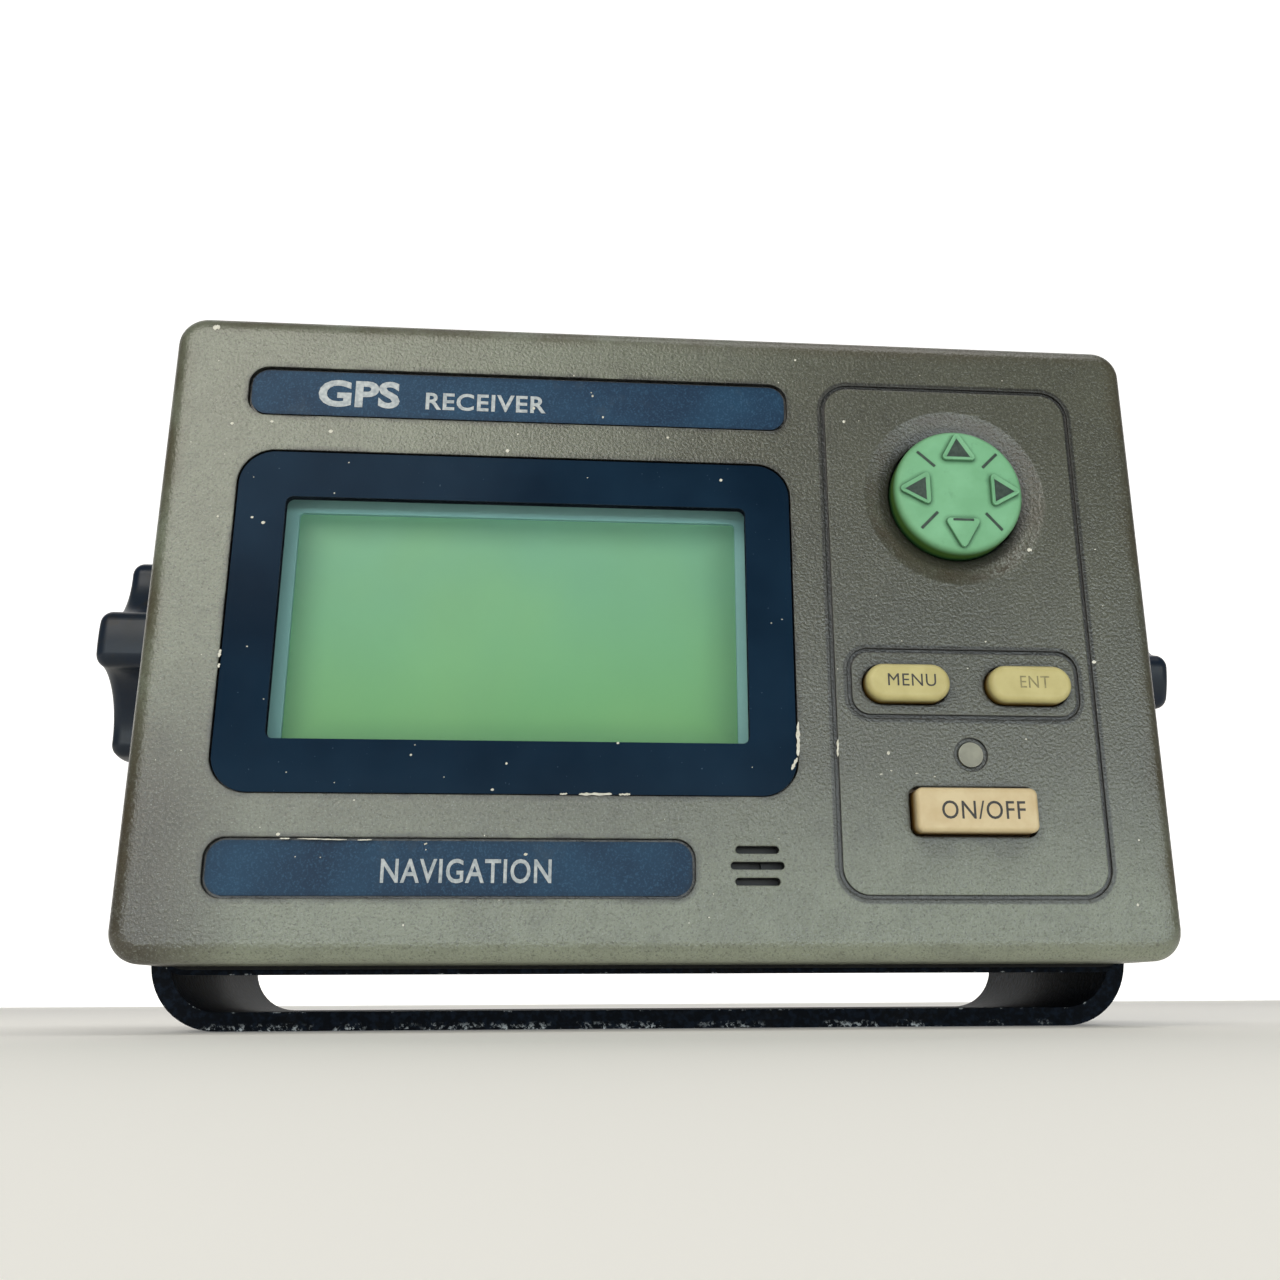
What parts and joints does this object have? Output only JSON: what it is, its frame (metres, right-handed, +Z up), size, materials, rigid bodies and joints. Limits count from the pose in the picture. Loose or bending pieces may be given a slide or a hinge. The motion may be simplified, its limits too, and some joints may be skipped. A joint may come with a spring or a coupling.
{
  "type": "aviation gps receiver",
  "caption": "Bracket-mounted GPS display receiver with green screen, direction pad, three keys, and star knobs that clamp its tilt in a U-shaped bracket.",
  "frame": {"origin": "centre of the bracket base, on its underside", "axes": "+X to the right as the user reads the display, +Z up, display faces -Y"},
  "size_m": [0.2024, 0.0945, 0.1174],
  "materials": {
    "bezel_plastic": "moulded ABS, fine sandy texture, olive grey",
    "navy_paint": "die-cast or bent aluminium with dark navy textured paint",
    "gasket_rubber": "black sponge rubber",
    "lens_clear": "clear acrylic window",
    "mask_ink": "dark navy screen-printed border behind the window",
    "tape": "black foam tape",
    "lcd_metal": "tinned steel frame",
    "lcd_green": "reflective green liquid crystal glass",
    "backlight": "white acrylic light guide",
    "circuit_board": "glass-epoxy board with green solder mask",
    "label_film": "printed polycarbonate label, fine grain",
    "pad_mint": "moulded mint green rubber",
    "key_yellow": "moulded pale yellow keys",
    "key_tan": "moulded peach tan key",
    "mat_rubber": "grey silicone rubber",
    "nylon": "black moulded nylon",
    "lamp_grey": "translucent grey lens",
    "sounder_black": "black moulded sounder",
    "steel": "zinc-plated steel",
    "brass": "turned brass",
    "nickel": "nickel-plated brass",
    "chip_black": "moulded black epoxy",
    "tin_can": "tinned steel shield",
    "ribbon": "grey ribbon cable",
    "white_insulator": "white fluoropolymer",
    "black_insulator": "black moulded insert",
    "knob_navy": "dark navy semi-gloss moulded phenolic",
    "washer_rubber": "black fibre-filled rubber",
    "foil": "blank anodised foil plate"
  },
  "bodies": {
    "bracket": {"bracket": "navy_paint"},
    "display_unit": {"antenna_core": "white_insulator", "antenna_nut": "nickel", "antenna_socket": "nickel", "backup_battery": "steel", "board_chips": "chip_black", "board_headers": "chip_black", "board_screws": "steel", "case_gasket": "gasket_rubber", "case_inserts": "brass", "case_screws": "steel", "display_lens": "lens_clear", "display_ribbon": "ribbon", "display_screws": "steel", "display_spacers": "brass", "front_bezel": "bezel_plastic", "keypad_board": "circuit_board", "keypad_mat": "mat_rubber", "keypad_ribbon": "ribbon", "keypad_screws": "steel", "lcd_backlight": "backlight", "lcd_board": "circuit_board", "lcd_frame": "lcd_metal", "lcd_glass": "lcd_green", "left_friction_washer": "washer_rubber", "lens_adhesive": "tape", "lens_mask": "mask_ink", "lower_label": "label_film", "main_board": "circuit_board", "pad_socket": "nylon", "power_insert": "black_insulator", "power_nut": "nickel", "power_pins": "brass", "power_socket": "nickel", "rating_plate": "foil", "rear_case": "navy_paint", "receiver_can": "tin_can", "right_friction_washer": "washer_rubber", "sounder": "sounder_black", "status_lamp": "lamp_grey", "status_led": "lens_clear", "upper_label": "label_film"},
    "pad_rocker": {"pad_rocker": "nylon"},
    "direction_pad": {"direction_pad": "pad_mint"},
    "menu_key": {"menu_key": "key_yellow"},
    "enter_key": {"enter_key": "key_yellow"},
    "power_key": {"power_key": "key_tan"},
    "left_clamp": {"left_clamp_washer": "steel"},
    "left_knob": {"left_knob": "knob_navy", "left_knob_stud": "steel"},
    "right_clamp": {"right_clamp_washer": "steel"},
    "right_knob": {"right_knob": "knob_navy", "right_knob_stud": "steel"}
  },
  "joints": [
    {"name": "display_tilt", "type": "hinge", "parent": "bracket", "child": "display_unit", "pos_m": [0, -0.0075, 0.0683], "axis": [-1, 0, 0], "range_deg": [-6, 60]},
    {"name": "pad_left_right", "type": "hinge", "parent": "display_unit", "child": "pad_rocker", "pos_m": [0.0505, -0.0558, 0.0876], "axis": [0, 0, 1], "range_deg": [-4, 4], "stiffness_Nm_per_rad": 0.25},
    {"name": "pad_up_down", "type": "hinge", "parent": "pad_rocker", "child": "direction_pad", "pos_m": [0.0505, -0.0558, 0.0876], "axis": [1, 0, 0], "range_deg": [-4, 4], "stiffness_Nm_per_rad": 0.25},
    {"name": "menu_press", "type": "slide", "parent": "display_unit", "child": "menu_key", "axis": [0, 1, 0], "range_m": [0, 0.0012], "stiffness_N_per_m": 900},
    {"name": "enter_press", "type": "slide", "parent": "display_unit", "child": "enter_key", "axis": [0, 1, 0], "range_m": [0, 0.0012], "stiffness_N_per_m": 900},
    {"name": "power_press", "type": "slide", "parent": "display_unit", "child": "power_key", "axis": [0, 1, 0], "range_m": [0, 0.0012], "stiffness_N_per_m": 900},
    {"name": "left_clamp_travel", "type": "slide", "parent": "display_unit", "child": "left_clamp", "axis": [-1, 0, 0], "range_m": [0, 0.003]},
    {"name": "left_knob_turn", "type": "hinge", "parent": "left_clamp", "child": "left_knob", "pos_m": [-0.0934, -0.0075, 0.0683], "axis": [-1, 0, 0], "range_deg": [0, 1080]},
    {"name": "right_clamp_travel", "type": "slide", "parent": "display_unit", "child": "right_clamp", "axis": [1, 0, 0], "range_m": [0, 0.003]},
    {"name": "right_knob_turn", "type": "hinge", "parent": "right_clamp", "child": "right_knob", "pos_m": [0.0934, -0.0075, 0.0683], "axis": [1, 0, 0], "range_deg": [0, 1080]}
  ],
  "couplings": [
    {"joint": "left_clamp_travel", "follows": "left_knob_turn", "m_per_rad": 0.00015915},
    {"joint": "right_clamp_travel", "follows": "right_knob_turn", "m_per_rad": 0.00015915}
  ]
}
